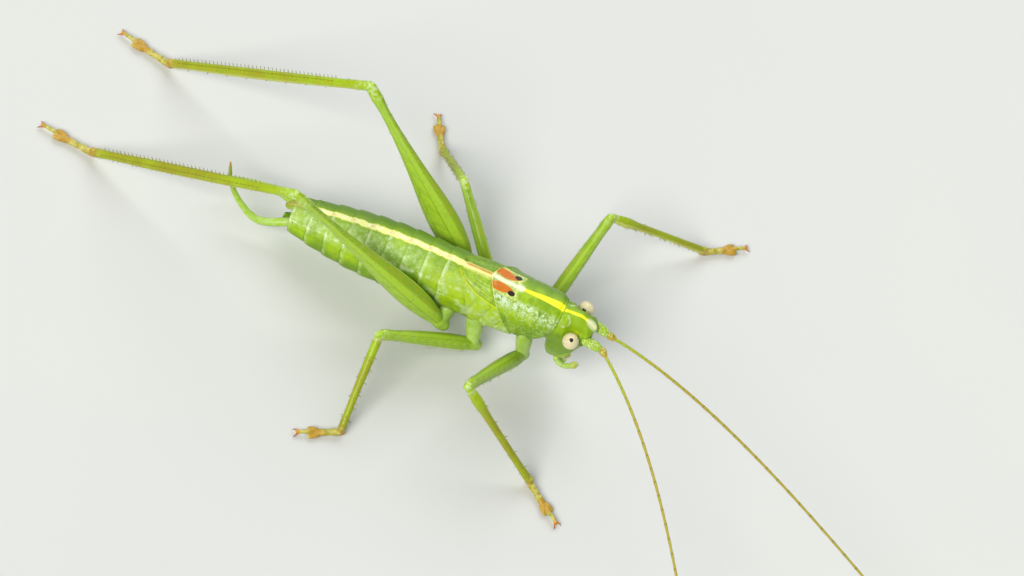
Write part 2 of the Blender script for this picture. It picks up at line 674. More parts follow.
def trunk_ring(f, upper=1.0, lower=1.0):
    """The trunk's outline at f, a little more peaked along the back than along the belly."""
    half_width, top, bottom = read(TRUNK, f)
    cosine, sine = np.cos(circle(72)), np.sin(circle(72))
    above = sine >= 0
    s = half_width * upper * bulge(cosine, np.where(above, BACK_SQUARENESS, SQUARENESS))
    u = np.where(above, top * upper * bulge(sine, BACK_SQUARENESS), bottom * lower * bulge(sine))
    return np.stack((slanted(f, u), s, u), axis=1)


def oval(f, half_width, upper, lower, power=SQUARENESS, count=40):
    """A ring across the body. Each of its halves is the height of its middle and its half height."""
    cosine, sine = np.cos(circle(count)), np.sin(circle(count))
    middle, half_height = np.where(sine > 0, np.array([upper]).T, np.array([lower]).T)
    u = middle + half_height * bulge(sine, power)
    return np.stack((f + 0 * sine, half_width * bulge(cosine, power), u), axis=1)


def trunk_shells():
    """Trunk, plate under its tail, underside of the chest, neck, back of the head and tail lobe."""
    trunk = [trunk_ring(f) for f in np.linspace(TRUNK_REAR, 0, 60, endpoint=False)]
    trunk += [trunk_ring(*station) for station in CORE]
    plate = []
    for f in np.linspace(PLATE[0][0], PLATE[-1][0], 17):
        half_width, upper, lower = read(PLATE, f)
        half = ((upper + lower) / 2, (upper - lower) / 2)
        plate.append(oval(f, half_width, half, half, power=2.0))
    sternum = [oval(f, STERNUM_HALF_WIDTH * share, STERNUM_UPPER * np.array((1, share)),
                    STERNUM_LOWER * np.array((1, share))) for f, share in STERNUM]
    lean = 0.12 * (1 - np.sin(circle(56)))
    head_back = [oval(f - lean, half_width, (0.1, top - 0.1), (0.1, 0.85), count=56)
                 for f, half_width, top in OCCIPUT]
    neck = np.array(NECK)
    neck_points = neck[:, :2] @ ((1, 0, 0), (0, 0, 1))
    lobe = tube(curve(TAIL_LOBE, 6), np.linspace(0.34, 0.20, 13), np.linspace(0.26, 0.14, 13))
    return [skin_over(trunk), skin_over(plate), skin_over(sternum),
            tube(neck_points, neck[:, 2], neck[:, 3], sides=40), skin_over(head_back), lobe]


def head_shell(stations, count, levels, crowned):
    """A stack of level slices, squarer behind. The crown is pinched, with the brow's tip drawn forward."""
    level, forward, width = BROW
    cosine, sine = np.cos(circle(count)), np.sin(circle(count))
    power = np.where(cosine > 0, FACE_SQUARENESS, NAPE_SQUARENESS)
    rings = []
    for u in np.linspace(stations[0][0], stations[-1][0], levels + 1):
        front, rear, half_width = read(stations, u)
        f = (front + rear) / 2 + (front - rear) / 2 * bulge(cosine, power)
        s = half_width * bulge(sine, power)
        if crowned:
            f += forward * bell(s, 0, width) * bell(u, level, width) * (cosine > 0)
            s *= 1 - PINCH * rise(f, 3.2, 3.62) * rise(f, 4.3, 4.0) * rise(u, 0.05, 0.55)
        rings.append(np.stack((f, s, u + 0 * s), axis=1))
    rings.append(rings[-1] + (np.mean(rings[-1], axis=0) - rings[-1]) * 0.35 + (0, 0, 0.05))
    return skin_over(rings)


def trunk_size(station, column):
    """The trunk's half width, height or depth at each station, from that column of its table."""
    return np.interp(-station, [-row[0] for row in TRUNK], [row[column] for row in TRUNK])


def trunk_relief(station, s, u, f):
    """Height of the trunk's plates, folds and seams above its smooth shape."""
    across, level = s / trunk_size(station, 1), u / trunk_size(station, 3)
    phase = np.mod((RING_FRONT - station) / RING_LENGTH, 1.0)
    on_abdomen = rise(station, RING_FRONT + 0.1, RING_FRONT - 0.1)
    overlap = rise(phase, 0.0, 0.8) - rise(phase, 0.965, 1.0)
    above, below = rise(level, -0.52, -0.42), rise(level, -0.78, -0.86)
    plates = overlap * (0.045 * above + 0.030 * below)
    pleats = (1 - above) * (1 - below) * (0.012 * np.sin(level * 60.0) - 0.05)
    keel = 0.02 * bell(across, 0.0, 0.12) * rise(u, 0.3, 0.6)
    crease = -0.015 * bell(level, 0.30, 0.035)
    on_chest = (1 - on_abdomen) * rise(u, 0.95, 0.75) * rise(np.abs(s), 0.35, 0.5) * rise(f, 2.0, 1.4)
    seams = sum(depth * bell(f - slant * u, place, width) for slant, place, width, depth in CHEST_SEAMS)
    swelling = 0.03 * (bell(f - 0.42 * u, 0.58, 0.22) + bell(f - 0.42 * u, -0.10, 0.2))
    return on_abdomen * (plates + pleats + keel + crease - 0.02) + on_chest * (swelling - seams)


def head_relief(points):
    """Height of the head's seams, eye rims and feeler sockets above its smooth shape."""
    f, s, u = points.T
    side = np.abs(s)
    folded = np.stack((f, side, u), axis=1)
    from_eye = np.linalg.norm(folded - EYE, axis=1)
    from_socket = np.linalg.norm(folded - SCAPE_ROOT, axis=1)
    rims = 0.012 * bell(from_eye, 0.40, 0.05) - 0.05 * bell(from_eye, 0.33, 0.04)
    rims += 0.05 * bell(from_socket, 0.30, 0.05) - 0.05 * bell(from_socket, 0.20, 0.07)
    brow_line = -0.060 * bell(u, -0.92 + 0.10 * side, 0.045) * rise(side, 0.50, 0.42)
    lip_line = -0.065 * bell(u, -1.34, 0.04) * rise(side, 0.45, 0.38)
    cheek = -0.065 * bell(side, 0.48 + 0.10 * (u + 1.75), 0.045) * rise(u, -0.95, -1.05)
    jaw = 0.05 * bell(u, -1.55, 0.3) * bell(side, 0.36, 0.12)
    furrow = -0.02 * bell(s, 0.0, 0.05) * bell(u, 0.70, 0.16)
    ridges = 0.030 * bell(side, 0.24 + 0.05 * u, 0.06) * rise(u, -0.85, -0.7) * rise(u, -0.15, -0.3)
    nape = -0.012 * bell(f, 3.02 - 0.12 * u, 0.04) * rise(side, 0.25, 0.35) * rise(u, -1.2, -1.0)
    return rims + nape + rise(f, 2.9, 3.3) * (brow_line + lip_line + cheek + jaw + furrow + ridges)


def skin_material():
    """Green skin. On the trunk the places are stretched so that its size is the same all along."""
    shade = Shade("skin_green")
    f, s, u = shade.place()
    side = abs(s)
    cloud = shade.noise(1.1, 3.0, 0.6)
    mottle = shade.noise(5.0, 3.0, 0.6)
    blotch = shade.noise(2.0, 3.0, 0.6)
    wander = (shade.noise(2.6) - 0.5) * 0.22
    edge = 0.16 * (mottle - 0.5)
    near = 0.12 + 0.88 * s.rise(0.2, -0.2)
    upper = u.rise(0.42, 0.86)
    behind = f.rise(0.2, -0.1)
    on_abdomen = f.rise(-0.85, -1.05)
    phase = ((RING_FRONT - f) / RING_LENGTH + wander * side).fraction()

    minty = (behind * near * upper * (0.35 + 0.65 * mottle.rise(0.36, 0.62)) * side.rise(0.08, 0.3)
             * (f.rise(-1.2, -4.5) * 0.6 + 0.4))
    border = phase.rise(0.74, 0.92) * phase.rise(0.995, 0.94) * on_abdomen * mottle.rise(0.32, 0.62)
    gap = phase.rise(0.09, 0.02) * on_abdomen * (1 - upper * 0.6)
    long_line = (u + wander * 0.6).band(0.80, 0.09) * side.rise(0.3, 0.5) * on_abdomen
    chest = behind * (1 - on_abdomen) * side.rise(0.45, 0.6)
    flecks = shade.noise(3.6, 4.0, 0.75).rise(0.53, 0.68)
    glints = shade.noise(9.0, 2.0, 0.7).rise(0.60, 0.67) * behind * near * upper * side.rise(0.25, 0.45)
    at_hips = f.rise(-2.8, -1.8) * behind * near * side.rise(0.45, 0.6)
    specks = shade.cells(3.6, "F1").rise(0.17, 0.10) * shade.noise(2.2).rise(0.46, 0.6)
    along_back = u.rise(0.2, 0.6)
    stripe = along_back * f.rise(-0.2, -0.9)
    dots = (side + edge).rise(0.11, 0.03) * (phase.rise(0.74, 0.92) + phase.rise(0.10, 0.02)) * on_abdomen
    between_flaps = side.rise(0.42, 0.22) * f.rise(-1.15, -0.95) * behind * u.rise(0.8, 1.0)
    orange_lines = ((s * 26.0).sine() * 0.5 + 0.5 + edge * 4.0).rise(0.55, 0.85)
    breathing_hole = abs(u + 0.56).larger(abs(phase - 0.42) * RING_LENGTH).rise(0.05, 0.025) * on_abdomen
    tail_lobe = f.rise(-7.5, -7.9) * u.rise(0.35, 0.8) * s.rise(-0.35, 0.0)

    trunk = shade.blend(
        "green",
        (cloud.rise(0.35, 0.68), "lime"),
        (mottle.rise(0.56, 0.74) * 0.3, "deep_green"),
        (s.rise(-0.1, 0.3) * behind * 0.7, "green"),
        (s.rise(0.08, 0.5) * behind * (0.55 + 0.3 * mottle), "deep_green"),
        (u.rise(0.35, -0.35) * f.rise(-0.7, -1.1) * 0.45, "deep_green"),
        (minty * 0.75, shade.blend("mint", (mottle.rise(0.5, 0.75) * 0.35, "chalk"))),
        (u.rise(-0.45, -1.0) * 0.25 * behind, "mint"),
        (border * near * near * (0.40 + 0.25 * upper), tint("chalk", "mint", 0.4)),
        (gap * 0.55, "deep_green"),
        (long_line * mottle.rise(0.38, 0.6) * near * near * 0.5, "chalk"),
        (chest * near * 0.9, "lime"),
        (chest * mottle.rise(0.42, 0.62) * 0.7, "mint"),
        (chest * near * flecks * 0.85, "chalk"),
        (glints * 0.25, "chalk"),
        (at_hips * blotch.rise(0.44, 0.64) * 0.5, tint("lime", "yellow", 0.15)),
        (at_hips * blotch.rise(0.50, 0.34) * 0.5, tint("mint", "chalk", 0.4)),
        (specks * side.rise(0.12, 0.3) * 0.7 * behind, "deep_green"),
        (stripe * (side + edge).rise(0.170, 0.095) * 0.95, "pale_yellow"),
        (stripe * (side + edge).rise(0.10, 0.03) * mottle.rise(0.35, 0.6) * 0.8, "chalk"),
        (dots * along_back * mottle.rise(0.30, 0.55) * 0.42, "amber"),
        (between_flaps * 0.85, "pale_yellow"),
        (between_flaps * orange_lines * 0.75, "amber"),
        (breathing_hole * 0.8, "dark"),
        (tail_lobe * 0.8, "olive"),
        (f.rise(-8.2, -8.35) * u.rise(0.2, 0.5) * 0.5, "olive"),
        (f.rise(-8.46, -8.62) * along_back * 0.8, "dark"),
    )

    ahead = f.rise(2.2, 2.5)
    folded = shade.node("ShaderNodeCombineXYZ", None, {0: f, 1: side, 2: u}).outputs[0]
    head_stripe = (abs(s + 0.03) + edge * 0.5).rise(0.085, 0.045) * f.rise(3.06, 3.14) * u.rise(0.48, 0.62)
    from_brow = ((s + 0.03) / 0.20) ** 2.0 + ((f - 4.24) / 0.36) ** 2.0 + ((u - 0.66) / 0.34) ** 2.0
    nape_ring = shade.distance(folded, (3.24, 0.48, 0.9)).band(0.24, 0.07)
    over_eye = shade.distance(folded, (3.80, 0.66, 0.52)).rise(0.24, 0.14)
    jaw_line = ahead * (u + wander * 0.3).band(-1.66, 0.07) * side.band(0.30, 0.18)
    brow_seam = (u - side * 0.10).band(-0.92, 0.06) * side.rise(0.52, 0.42)
    lip_seam = u.band(-1.34, 0.06) * side.rise(0.46, 0.36)
    lip = ahead * u.rise(-0.95, -1.25) * side.rise(0.52, 0.24) * f.rise(3.1, 3.4)
    middle_eye = ((s / 0.05) ** 2.0 + ((u - 0.26) / 0.06) ** 2.0).rise(1.2, 0.6) * f.rise(3.9, 4.1)
    base = shade.blend(
        trunk,
        (ahead * 0.6, shade.blend("lime", (cloud.rise(0.3, 0.7), "green"))),
        (ahead * side.rise(0.35, 0.6) * u.rise(0.5, 0.2) * (0.35 + 0.3 * mottle), "deep_green"),
        (ahead * u.rise(-0.95, -1.4) * (0.10 + 0.3 * mottle), "mint"),
        (s.rise(0.0, 0.3) * ahead * 0.45, "deep_green"),
        (head_stripe * ahead, "yellow"),
        (from_brow.rise(1.4, 0.4) * (0.4 + 0.5 * mottle), "chalk"),
        (nape_ring * ahead * mottle.rise(0.42, 0.62) * 0.5, "chalk"),
        (over_eye * 0.8, tint("yellow", "amber", 0.25)),
        (ahead * u.rise(-1.52, -1.75) * 0.45, "olive"),
        (jaw_line * mottle.rise(0.4, 0.6) * 0.5, "rust"),
        ((brow_seam + lip_seam) * ahead * f.rise(2.9, 3.3) * 0.5, "deep_green"),
        (lip * (0.2 + 0.3 * mottle), "pale_yellow"),
        (middle_eye * 0.8, "cream"),
    )
    height = shade.cells(15.0).rise(0.0, 0.12) * 0.3 + shade.noise(22.0) * 0.5 + mottle * 0.4
    return shade.waxy("skin_green", base, 0.34 + 0.18 * mottle + 0.1 * on_abdomen, height)


class CRICKET_OT_body(bpy.types.Operator):
    """Make the skin of head, chest and abdomen as one fused skin with its plates and seams"""

    bl_idname = "cricket.body"
    bl_label = "Head and trunk"

    def execute(self, context):
        shells = trunk_shells() + [head_shell(HEAD, 96, 64, True), head_shell(MOUTH, 64, 24, False)]
        points, normals, faces = fused(shells, size("skin_grain"), 4)
        f, s, u = points.T
        drop_shift = REAR_SLANT * drop_at(u) ** REAR_CURVE
        station = np.where(f > THORAX_REAR, (f - drop_shift) / (1 - drop_shift / THORAX_REAR), f)
        behind = station < 0.0
        on_head = rise(f, 2.3, 2.6) * rise(u, -2.3, -2.2)
        relief = np.where(behind, trunk_relief(station, s, u, f), 0.0) + on_head * head_relief(points)
        skin = points + normals * (relief - 0.02)[:, None]
        evened = (station, s * 1.1 / trunk_size(station, 1), u * 1.3 / trunk_size(station, 2))
        place = np.where(behind[:, None], np.stack(evened, axis=1), points)
        add_piece("body_skin", (to_world(skin), faces), place, skin_material(),
                  ("head", "mouthparts", "thorax", "prothorax_underside", "tail_plate", "subgenital_plate",
                   *(f"abdomen_{number}" for number in range(1, 8))))
        return {"FINISHED"}


# ---- Shield ---------------------------------------------------------------------------------

def shield_grid():
    """The shield's smooth outer face, and how far each of its points is from the margins."""
    along_lobe = np.arange(16) / 16
    turns = np.linspace(0, math.pi, 85)
    grid, margin = [], []
    for f in np.linspace(0, SHIELD_LENGTH, 91):
        half_width, top, foot = read(SHIELD, f)
        lobe_s = half_width * (0.95 + 0.05 * np.sin(0.5 * math.pi * along_lobe))
        lobe_u = foot + (SHOULDER - foot) * along_lobe
        back_s = half_width * bulge(np.cos(turns), SADDLE_SQUARENESS[0])
        back_u = SHOULDER + (top - SHOULDER) * bulge(np.sin(turns), SADDLE_SQUARENESS[1])
        s = np.concatenate((lobe_s, back_s, -lobe_s[::-1]))
        u = np.concatenate((lobe_u, back_u, lobe_u[::-1]))
        grid.append(np.stack((slanted(f, u), s, u), axis=1))
        margin.append(np.minimum(min(f, SHIELD_LENGTH - f), u - foot))
    return np.array(grid), np.array(margin)


def shield_material():
    """Green with a yellow stripe, amber marks and two dark dots on the back, and frosty lobes."""
    shade = Shade("shield_green")
    f, s, u = shade.place()
    side = abs(s)
    mottle = shade.noise(6.0, 3.0, 0.65)
    frost = shade.noise(5.5, 3.0, 0.7)
    edge = (mottle - 0.5) * 0.10
    near = 0.15 + 0.85 * s.rise(0.2, -0.2)
    top = u.rise(0.6, 0.85)
    lattice = shade.cells(6.0).rise(0.10, 0.02) * mottle.rise(0.42, 0.56) * side.rise(0.45, 0.62)
    flank = side.band(0.72, 0.30) * u.rise(0.50, 0.75) * near * f.rise(0.0, 0.5)
    glints = shade.noise(11.0, 2.0, 0.7).rise(0.60, 0.66)
    specks = shade.cells(4.5, "F1").rise(0.13, 0.07) * side.rise(0.4, 0.6)
    pale_bed = (f - side * 0.3).rise(1.22, 1.02) * (side + edge).rise(0.60, 0.54) * top
    stripe_width = f.rise(1.1, 3.1) * 0.10 + 0.065
    stripe = ((side + edge * 0.4) / stripe_width).rise(1.15, 0.85) * f.rise(1.05, 1.3) * top
    across_mark = abs(side - 0.31) + 0.12 * ((f - 0.5) / 0.5) ** 2.0 + edge
    mark = across_mark.rise(0.22, 0.16) * f.rise(0.04, 0.14) * top * (f + edge).rise(1.08, 0.98)
    middle = (side + edge * 0.5).rise(0.11, 0.06) * f.rise(1.45, 1.2) * top
    from_dot = ((f - 0.985) * 0.8) ** 2.0 + ((side - 0.39) * 1.1) ** 2.0 + edge * 0.02
    ahead_of_marks = ((f - 1.24) ** 2.0 + side ** 2.0 + edge * 0.3).rise(0.045, 0.01) * top
    rim = shade.margin().rise(0.055, 0.025)
    base = shade.blend(
        "green",
        (shade.noise(1.6, 3.0, 0.6).rise(0.38, 0.66), "lime"),
        (s.rise(0.1, 0.4) * 0.6, "green"),
        (s.rise(0.15, 0.6) * 0.65, "deep_green"),
        (u.rise(0.65, 0.35) * (0.25 + 0.3 * mottle), "deep_green"),
        (u.rise(0.75, 0.2) * near * mottle.rise(0.45, 0.66) * 0.35, "mint"),
        (lattice * f.rise(0.2, 0.5) * near * 0.7, "mint"),
        (flank * (0.25 + 0.4 * mottle), "mint"),
        (flank * frost.rise(0.49, 0.57) * 0.85, "frost"),
        (flank * frost.rise(0.46, 0.38) * 0.75, "deep_green"),
        (flank * glints * 0.7, "chalk"),
        (specks * 0.75, "dark"),
        (pale_bed * 0.75, shade.blend("pale_yellow", (mottle.rise(0.4, 0.6), "mint"))),
        (stripe, "yellow"),
        (mark, "amber"),
        (mark * mottle.rise(0.55, 0.72) * 0.35, "pale_yellow"),
        (mark * (across_mark - f * 0.1).rise(0.12, 0.02) * mottle.rise(0.4, 0.7) * 0.4, "rust"),
        (middle * 0.85, "chalk"),
        (from_dot.rise(0.0175, 0.0095) * top, "dark"),
        (ahead_of_marks * 0.6, "chalk"),
        (rim * f.rise(2.6, 2.2) * side.rise(0.45, 0.8) * 0.7, "chalk"),
        (rim * side.rise(0.6, 0.4) * f.rise(0.4, 0.1) * 0.6, "pale_yellow"),
    )
    height = shade.cells(15.0).rise(0.0, 0.14) * 0.3 + shade.noise(24.0) * 0.4
    return shade.waxy("shield_green", base, 0.28 + 0.16 * mottle, height)


class CRICKET_OT_shield(bpy.types.Operator):
    """Make the saddle-shaped shield behind the head, with its rim and shallow grooves"""

    bl_idname = "cricket.shield"
    bl_label = "Shield"

    def execute(self, context):
        grid, margin = shield_grid()
        f, s, u = grid[..., 0], np.abs(grid[..., 1]), grid[..., 2]
        station = np.linspace(0, SHIELD_LENGTH, len(grid))[:, None]
        rim = 0.022 * bell(margin, 0.04, 0.035) - 0.012 * bell(margin, 0.11, 0.04)
        front_groove = 0.022 * bell(f - 0.25 * (1 - s), 2.25, 0.06) * rise(s, 0.15, 0.35)
        rear_groove = 0.016 * bell(f - 0.55 * s, 1.05, 0.07) * rise(s, 0.45, 0.6)
        shoulder = 0.015 * bell(s, 0.62, 0.12) * rise(u, 0.7, 0.9)
        rear_lift = 0.060 * rise(station, 0.45, 0.0)
        front_dip = 0.045 * rise(station, SHIELD_LENGTH - 0.3, SHIELD_LENGTH)
        outward = grid * (0, 1, 1) - (0.0, 0.0, 0.15)
        outward /= np.linalg.norm(outward, axis=2)[..., None]
        relief = rim - front_groove - rear_groove + shoulder + rear_lift - front_dip - 0.01
        add_plate("shield", grid + outward * relief[..., None], grid, margin, size("shield_thickness"),
                  shield_material(), "shell", "pronotum")
        return {"FINISHED"}


# ---- Wing flaps -----------------------------------------------------------------------------

def flap_grid(side):
    """A flap's veined outer face, its points' places, and how far they are from its free margins."""
    start, end = WING[0][0], WING[-1][0]
    across = np.arange(57) / 56
    grid, places, margin = [], [], []
    for share in np.arange(65) / 64:
        f = start + (end - start) * (1 - (1 - share) ** 1.35)
        low, high = read(WING, f)
        half_width, top, _ = read(TRUNK, min(f, 0.0))
        turns = np.radians(low + (high - low) * across)
        width = math.radians(high - low) * top
        away = np.minimum(np.minimum(across, 1 - across) * width, (f - end) * 1.2)
        lift = 0.035 + 0.030 * np.sin(math.pi * across) * rise(f, end, end + 0.4)
        lift -= 0.065 * rise(f, -0.15, 0.05) + 0.12 * rise(f, 0.05, start)
        veins = sum(bell(across, middle, 0.025) for middle in WING_VEINS)
        lift += 0.014 * veins * rise(away, 0.03, 0.1) + 0.022 * bell(away, 0.02, 0.03)
        s = half_width * bulge(np.cos(turns), BACK_SQUARENESS)
        u = top * bulge(np.sin(turns), BACK_SQUARENESS)
        outward = np.stack((0 * s, s / half_width**2, u / top**2), axis=1)
        outward /= np.linalg.norm(outward, axis=1)[:, None]
        grid.append((np.stack((slanted(f, u), s, u), axis=1) + outward * lift[:, None]) * (1, side, 1))
        places.append(np.stack((f + 0 * s, across, side + 0 * s), axis=1))
        margin.append(away)
    return np.array(grid), np.array(places), np.array(margin)


def flap_material():
    """Veined green. The places are f, the share of the flap's width, and its side."""
    shade = Shade("wing_flap")
    _, across, side = shade.place()
    mottle = shade.noise(6.0, 3.0, 0.6)
    net = shade.cells(7.5)
    far = side.rise(-0.5, 0.5)
    near = side.rise(0.5, -0.5)
    veins = abs((across * 4.0 + 0.24).fraction() - 0.5).rise(0.07, 0.03) * across.rise(0.85, 0.75)
    bright = tint("yellow", "lime", 0.62)
    base = shade.blend(
        "green",
        (mottle.rise(0.30, 0.60), "lime"),
        (net.rise(0.05, 0.2) * (0.20 + 0.35 * far), "deep_green"),
        (net.rise(0.09, 0.02) * (0.10 + 0.22 * near), "mint"),
        (far * 0.45, "deep_green"),
        (veins * (0.2 + 0.35 * near), bright),
        (across.rise(0.84, 0.98) * 0.5 * near, "pale_yellow"),
        (shade.cells(5.0, "F1").rise(0.13, 0.07) * 0.7, "dark"),
        (shade.margin().rise(0.10, 0.07) * (0.25 + 0.75 * near) * across.rise(0.62, 0.45), bright),
    )
    height = net.rise(0.12, 0.0) * 0.7 + shade.noise(20.0) * 0.3
    return shade.waxy("wing_flap", base, 0.28 + 0.2 * mottle, height)


class CRICKET_OT_flaps(bpy.types.Operator):
    """Make the two short veined wing flaps that stick out from under the shield"""

    bl_idname = "cricket.flaps"
    bl_label = "Wing flaps"

    def execute(self, context):
        material = flap_material()
        for word, side in SIDES.items():
            add_plate(f"wing_{word}", *flap_grid(side), size("flap_thickness"), material, "wing",
                      f"tegmen_{word}")
        return {"FINISHED"}


# ---- Eyes -----------------------------------------------------------------------------------

def eye_material(word):
    """The eye's finish. Directions on it are from its middle, with the outer side positive."""
    shade = Shade(f"eye_cream_{word}")
    _, outward, up = shade.place()
    shade.where = shade.stored("place", "Vector")
    facets = shade.cells(17.0)
    mottle = shade.noise(7.0)
    rim_dots = shade.cells(5.0, "F1").rise(0.14, 0.08) * up.rise(0.5, 0.1)
    from_dot = shade.distance(shade.where, tuple(unit(np.array(EYE_DOT[word]))))
    base = shade.blend(
        "cream",
        (shade.noise(2.4).rise(0.45, 0.8) * 0.12, "rust"),
        (mottle.rise(0.5, 0.7) * 0.3, "chalk"),
        (outward.rise(-0.75, -0.95) * 0.4, "olive"),
        (facets.rise(0.06, 0.0) * 0.12, "olive"),
        (rim_dots * 0.35, "rust"),
        (from_dot.rise(0.30, 0.20), "dark"),
    )
    return shade.waxy("eye_cream", base, 0.16 + 0.06 * mottle, facets.rise(0.0, 0.14))


class CRICKET_OT_eyes(bpy.types.Operator):
    """Make the two bulging faceted eyes, each with its dark dot"""

    bl_idname = "cricket.eyes"
    bl_label = "Eyes"

    def execute(self, context):
        tilt = np.linspace(-math.pi / 2 + 0.05, math.pi / 2 - 0.05, 40)[:, None]
        turn = circle(56)
        forward, up = np.cos(tilt) * np.cos(turn), np.cos(tilt) * np.sin(turn)
        globe = np.stack((forward, np.sin(tilt) + 0 * turn, up), axis=2)
        for word, side in SIDES.items():
            points, faces = skin_over(mirrored(EYE, side) + globe * EYE_HALVES)
            add_piece(f"{word}_eye_ball", (to_world(points), faces), (globe * (1, side, 1)).reshape(-1, 3),
                      eye_material(word), (f"eye_{word}",))
        return {"FINISHED"}


# ---- Feelers, palps and tail feelers --------------------------------------------------------

def feeler_route(word, side):
    """World points from the tip of a feeler's first piece along its lash."""
    heading, turn, turn_length = ANTENNA_COURSE[word]
    start = to_world(mirrored(SCAPE_TIP, side))
    way = np.arange(round(ANTENNA_LENGTH / ANTENNA_STEP) + 1) * ANTENNA_STEP
    height = ANTENNA_FAR_HEIGHT + (start[2] - ANTENNA_FAR_HEIGHT) * np.exp(-(way / ANTENNA_SINK) ** 1.5)
    drop = np.diff(height)
    level = np.sqrt(ANTENNA_STEP**2 - drop**2)
    turned = 1 - np.exp(-(way[:-1] + 0.5 * ANTENNA_STEP) / turn_length)
    bearing = np.radians(heading + turn * turned)
    steps = np.stack((np.sin(bearing) * level, -np.cos(bearing) * level, drop), axis=1)
    return curve(start + np.vstack((np.zeros(3), np.cumsum(steps, axis=0))), 20)


def lash_radii(way):
    """Radius of a feeler's lash, a little wider at the far end of each of its many rings."""
    root, tip = size("feeler_root"), size("feeler_tip")
    share = np.clip(way / ANTENNA_LENGTH, 0.0, 1.0)
    swell = 1 + 0.07 * np.cos(2 * math.pi * LASH_RINGS * share**0.75)
    return (tip + (root - tip) * (1 - share) ** 1.3) * swell


def bead(start, end, shape, sides):
    """A stout round piece between two points."""
    shares = np.linspace(0, 1, 24)
    radii = [read(shape, share)[0] for share in shares]
    return tube(start + np.outer(shares, end - start), radii, sides=sides)


def feeler_material():
    """Ringed olive. The places are the way along the lash, the side, and 0, 1 or 2 for the pieces."""
    shade = Shade("feeler_olive")
    way, side, piece = shade.place()
    mottle = shade.noise(7.0)
    fine = shade.noise(16.0, 3.0, 0.6)
    rings = ((way / ANTENNA_LENGTH) ** 0.75 * LASH_RINGS).fraction()
    near = side.rise(0.5, -0.5)
    scape = shade.blend(
        "lime",
        (mottle.rise(0.35, 0.65) * 0.3, "green"),
        (fine.rise(0.48, 0.60) * 0.6, "chalk"),
    )
    pedicel = shade.blend(
        "pale_yellow",
        (fine.rise(0.40, 0.55) * 0.4 + 0.6, "olive"),
        (mottle.rise(0.45, 0.65) * 0.35, "amber"),
    )
    lash = shade.blend(
        "olive",
        (near * 0.10 + 0.03, "pale_yellow"),
        (mottle.rise(0.3, 0.7) * 0.25, "amber"),
        (abs(rings - 0.5).rise(0.38, 0.5) * 0.35, "dark"),
        (way.rise(4.0, 0.5) * 0.45, "lime"),
    )
    base = shade.blend(scape, (piece.rise(0.4, 0.6), pedicel), (piece.rise(1.4, 1.6), lash))
    height = shade.noise(18.0) * 0.5 + rings.rise(0.0, 0.3)
    return shade.waxy("feeler_olive", base, 0.38 + 0.1 * mottle, height)


class CRICKET_OT_feelers(bpy.types.Operator):
    """Make the two long thread-like feelers, each with its stout first piece and ringed lash"""

    bl_idname = "cricket.feelers"
    bl_label = "Feelers"

    def execute(self, context):
        material = feeler_material()
        for word, side in SIDES.items():
            root = to_world(mirrored(SCAPE_ROOT, side))
            tip = to_world(mirrored(SCAPE_TIP, side))
            route = feeler_route(word, side)
            way = np.concatenate(((0.0,), np.cumsum(np.linalg.norm(np.diff(route, axis=0), axis=1))))
            leaving = unit(route[1] - route[0])
            shells = (
                bead(root, tip - unit(tip - root) * 0.06, SCAPE_SHAPE, 32),
                bead(tip - leaving * 0.08, tip + leaving * 0.26, PEDICEL_SHAPE, 28),
                tube(route, lash_radii(way), sides=10),
            )
            counts = [len(points) for points, _ in shells]
            place = np.column_stack((np.zeros(sum(counts)), np.full(sum(counts), side),
                                     np.repeat((0.0, 1.0, 2.0), counts)))
            order = np.linspace(0, counts[2], len(way))
            place[-counts[2]:, 0] = np.interp(np.arange(counts[2]), order, way)
            add_piece(f"feeler_{word}", joined(shells), place, material,
                      (f"scape_{word}", *(f"antenna_{word}_{number}" for number in (1, 2, 3))))
        return {"FINISHED"}


def waist(share, pieces, depth):
    """How slim a jointed limb is along its length, one in the middle of each of its equal pieces."""
    return 1 - depth * np.abs(2 * np.mod(share * pieces, 1.0) - 1) ** 6


def palp_material():
    """Pale and ringed. The first place is the way along a palp, as in the next material."""
    shade = Shade("palp_pale")
    way = shade.place()[0]
    mottle = shade.noise(6.0)
    base = shade.blend(
        "mint",
        (mottle.rise(0.3, 0.7) * 0.6, "lime"),
        (way.rise(0.6, 1.0) * 0.25, "amber"),
        (abs((way * 4.0).fraction() - 0.5).rise(0.38, 0.5) * 0.4, "olive"),
    )
    return shade.waxy("palp_pale", base, 0.34 + 0.12 * mottle, mottle)


class CRICKET_OT_palps(bpy.types.Operator):
    """Make the jointed palps beside the mouth"""

    bl_idname = "cricket.palps"
    bl_label = "Palps"

    def execute(self, context):
        material = palp_material()
        for word, side in SIDES.items():
            long_route = curve([mirrored(point, side) for point in PALP[word]], 12)
            share = np.linspace(0, 1, len(long_route))
            long_radii = (0.125 - 0.02 * share + 0.04 * bell(share, 0.94, 0.10)) * waist(share, 4, 0.18)
            short_route = curve([mirrored(point, side) for point in SHORT_PALP], 10)
            share = np.linspace(0, 1, len(short_route))
            short_radii = (0.085 + 0.01 * share) * waist(share, 3, 0.25)
            shells = (tube(long_route, long_radii, deep=PALP_DEEP, sides=24),
                      tube(short_route, short_radii, deep=PALP_DEEP, sides=20))
            points, faces = joined(shells)
            add_piece(f"mouth_palps_{word}", (to_world(points), faces), places_along(shells, (0.0, 0.0)),
                      material, (f"palp_{word}",))
        return {"FINISHED"}


